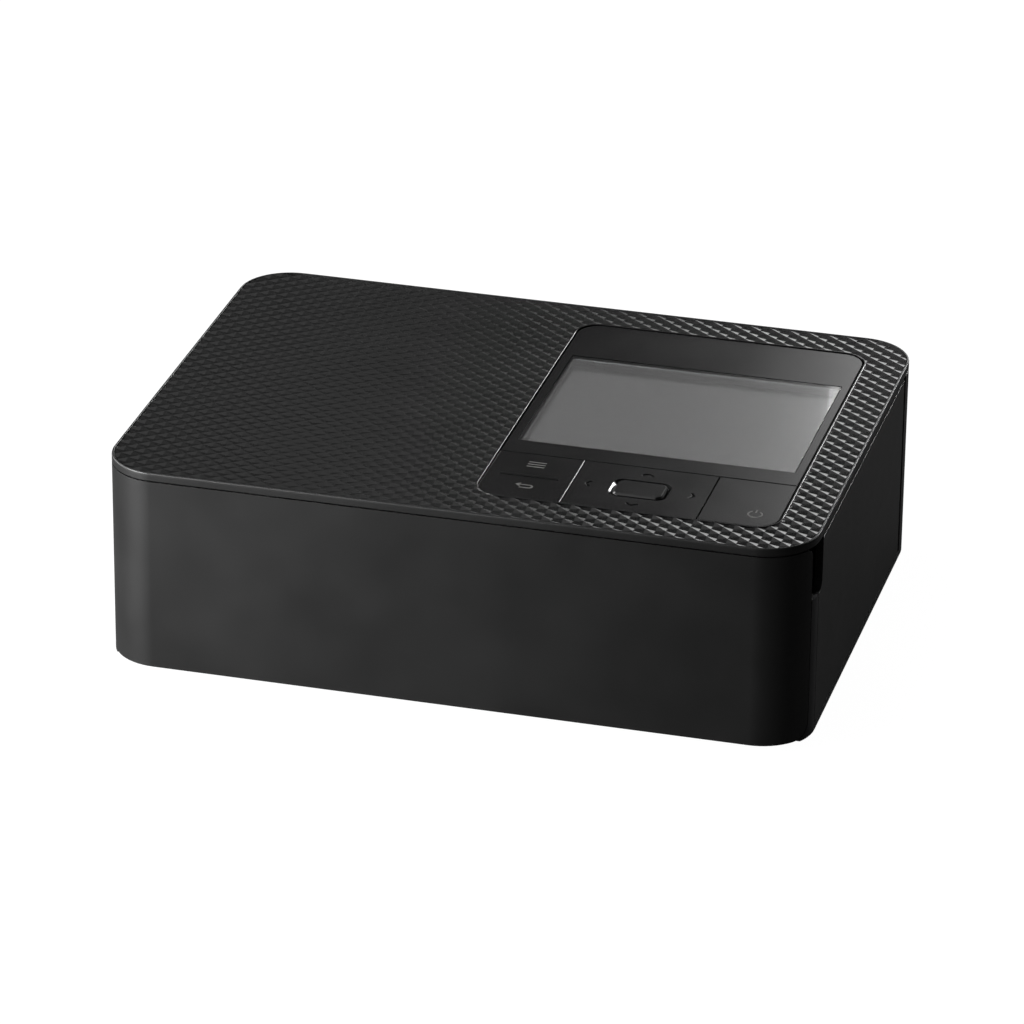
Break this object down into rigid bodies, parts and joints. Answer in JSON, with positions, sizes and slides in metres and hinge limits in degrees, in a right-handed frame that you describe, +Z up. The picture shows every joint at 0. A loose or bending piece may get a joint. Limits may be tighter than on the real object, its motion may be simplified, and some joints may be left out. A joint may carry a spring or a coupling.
{
  "type": "compact photo printer",
  "caption": "Flat black photo printer with a textured top, display and key panel, hinged front cover over a paper bay and a hinged side door over a ribbon bay.",
  "frame": {"origin": "centre of the footprint on the surface the printer stands on", "axes": "+X to the right seen from the front, +Y to the rear, +Z up"},
  "size_m": [0.1822, 0.133, 0.0576],
  "materials": {
    "case_plastic": "satin moulded black, textured top",
    "inner_plastic": "matt moulded black",
    "panel_plastic": "satin black lacquered panel",
    "button_gloss": "polished black",
    "display_glass": "smoked clear",
    "display_module": "dark grey display face",
    "circuit_board": "green solder mask",
    "bright_steel": "bright plated",
    "sheet_steel": "zinc plated sheet",
    "aluminium": "extruded",
    "ceramic_plate": "glazed ceramic strip",
    "rubber": "matt black",
    "gear_plastic": "natural acetal",
    "brass": "turned"
  },
  "bodies": {
    "housing": {"base_pan": "case_plastic", "left_cover": "case_plastic", "rear_cover": "case_plastic", "top_cover": "case_plastic", "front_frame": "inner_plastic", "rubber_feet": "rubber", "ribbon_guide": "inner_plastic", "panel_frame": "panel_plastic", "display_window": "display_glass", "lcd_module": "display_module", "key_board": "circuit_board", "dome_switches": "bright_steel", "main_board": "circuit_board", "card_socket": "bright_steel", "data_socket": "bright_steel", "dc_inlet": "inner_plastic", "left_plate": "sheet_steel", "right_plate": "sheet_steel", "drive_plate": "sheet_steel", "paper_bay": "inner_plastic", "paper_guide": "inner_plastic", "idler_stud": "bright_steel", "feed_motor": "bright_steel", "ribbon_motor": "bright_steel", "roller_bushes": "gear_plastic"},
    "front_cover": {"front_cover": "case_plastic", "cover_pins": "bright_steel"},
    "ribbon_door": {"ribbon_door": "case_plastic", "door_pins": "bright_steel"},
    "menu_key": {"menu_key": "panel_plastic"},
    "pad_ring": {"pad_ring": "gear_plastic"},
    "four_way_pad": {"four_way_pad": "panel_plastic"},
    "ok_button": {"ok_button": "button_gloss"},
    "power_button": {"power_button": "panel_plastic"},
    "platen": {"platen_roller": "rubber", "platen_gear": "gear_plastic"},
    "capstan": {"capstan": "bright_steel", "capstan_gear": "gear_plastic"},
    "pinch_roller": {"pinch_roller": "rubber"},
    "pickup": {"pickup_shaft": "bright_steel", "pickup_tyres": "rubber", "pickup_gear": "gear_plastic"},
    "idler": {"idler_gear": "gear_plastic"},
    "feed_pinion": {"feed_pinion": "brass"},
    "ribbon_pinion": {"ribbon_pinion": "brass"},
    "takeup": {"takeup_hub": "gear_plastic"},
    "supply": {"supply_hub": "gear_plastic"},
    "head": {"head_arm": "sheet_steel", "heat_sink": "aluminium", "print_head": "ceramic_plate", "head_shaft": "bright_steel"},
    "latch": {"latch_lever": "gear_plastic"}
  },
  "joints": [
    {"name": "front_cover_hinge", "type": "hinge", "parent": "housing", "child": "front_cover", "pos_m": [0, -0.062, 0.008], "axis": [1, 0, 0], "range_deg": [0, 90]},
    {"name": "ribbon_door_hinge", "type": "hinge", "parent": "housing", "child": "ribbon_door", "pos_m": [0.0895, 0.0484, 0.028], "axis": [0, 0, 1], "range_deg": [0, 90]},
    {"name": "menu_key_rock", "type": "hinge", "parent": "housing", "child": "menu_key", "pos_m": [0.0141, -0.04113, 0.0552], "axis": [1, 0, 0], "range_deg": [-1.2, 1.2], "stiffness_Nm_per_rad": 0.2},
    {"name": "pad_tilt_side", "type": "hinge", "parent": "housing", "child": "pad_ring", "pos_m": [0.04252, -0.04113, 0.05507], "axis": [0, 1, 0], "range_deg": [-0.9, 0.9], "stiffness_Nm_per_rad": 0.2},
    {"name": "pad_tilt_ahead", "type": "hinge", "parent": "pad_ring", "child": "four_way_pad", "pos_m": [0.04252, -0.04113, 0.05507], "axis": [1, 0, 0], "range_deg": [-0.9, 0.9], "stiffness_Nm_per_rad": 0.2},
    {"name": "ok_press", "type": "slide", "parent": "housing", "child": "ok_button", "axis": [0, 0, -1], "range_m": [0, 0.0004], "stiffness_N_per_m": 400, "springref_m": -0.0006},
    {"name": "power_press", "type": "slide", "parent": "housing", "child": "power_button", "axis": [0, 0, -1], "range_m": [0, 0.0004], "stiffness_N_per_m": 400, "springref_m": -0.0006},
    {"name": "platen_spin", "type": "hinge", "parent": "housing", "child": "platen", "pos_m": [0, 0.018, 0.0132], "axis": [1, 0, 0], "continuous": true},
    {"name": "capstan_spin", "type": "hinge", "parent": "housing", "child": "capstan", "pos_m": [0, 0.034, 0.0168], "axis": [1, 0, 0], "continuous": true},
    {"name": "pinch_spin", "type": "hinge", "parent": "housing", "child": "pinch_roller", "pos_m": [0, 0.034, 0.02155], "axis": [1, 0, 0], "continuous": true},
    {"name": "idler_spin", "type": "hinge", "parent": "housing", "child": "idler", "pos_m": [-0.064, 0.02745, 0.02139], "axis": [1, 0, 0], "continuous": true},
    {"name": "feed_motor_spin", "type": "hinge", "parent": "housing", "child": "feed_pinion", "pos_m": [-0.064, 0.00786, 0.01592], "axis": [1, 0, 0], "continuous": true},
    {"name": "pickup_spin", "type": "hinge", "parent": "housing", "child": "pickup", "pos_m": [0, -0.022, 0.0296], "axis": [1, 0, 0], "continuous": true},
    {"name": "ribbon_motor_spin", "type": "hinge", "parent": "housing", "child": "ribbon_pinion", "pos_m": [-0.064, -0.01099, 0.03438], "axis": [1, 0, 0], "continuous": true},
    {"name": "takeup_spin", "type": "hinge", "parent": "housing", "child": "takeup", "pos_m": [-0.06, 0.002, 0.034], "axis": [1, 0, 0], "continuous": true},
    {"name": "supply_spin", "type": "hinge", "parent": "housing", "child": "supply", "pos_m": [-0.06, 0.034, 0.034], "axis": [1, 0, 0], "continuous": true},
    {"name": "head_lower", "type": "hinge", "parent": "housing", "child": "head", "pos_m": [0, 0.053, 0.044], "axis": [1, 0, 0], "range_deg": [0, 4], "stiffness_Nm_per_rad": 0.6, "springref_deg": -5.73},
    {"name": "latch_slide", "type": "slide", "parent": "housing", "child": "latch", "axis": [0, 0, -1], "range_m": [0, 0.0035], "stiffness_N_per_m": 60, "springref_m": -0.003}
  ],
  "couplings": [
    {"joint": "capstan_spin", "follows": "platen_spin", "ratio": 2.5},
    {"joint": "pinch_spin", "follows": "platen_spin", "ratio": -2.8571},
    {"joint": "idler_spin", "follows": "platen_spin", "ratio": -1.5},
    {"joint": "feed_motor_spin", "follows": "platen_spin", "ratio": -2.5},
    {"joint": "ribbon_motor_spin", "follows": "pickup_spin", "ratio": -3},
    {"joint": "takeup_spin", "follows": "pickup_spin", "ratio": 0.9}
  ]
}
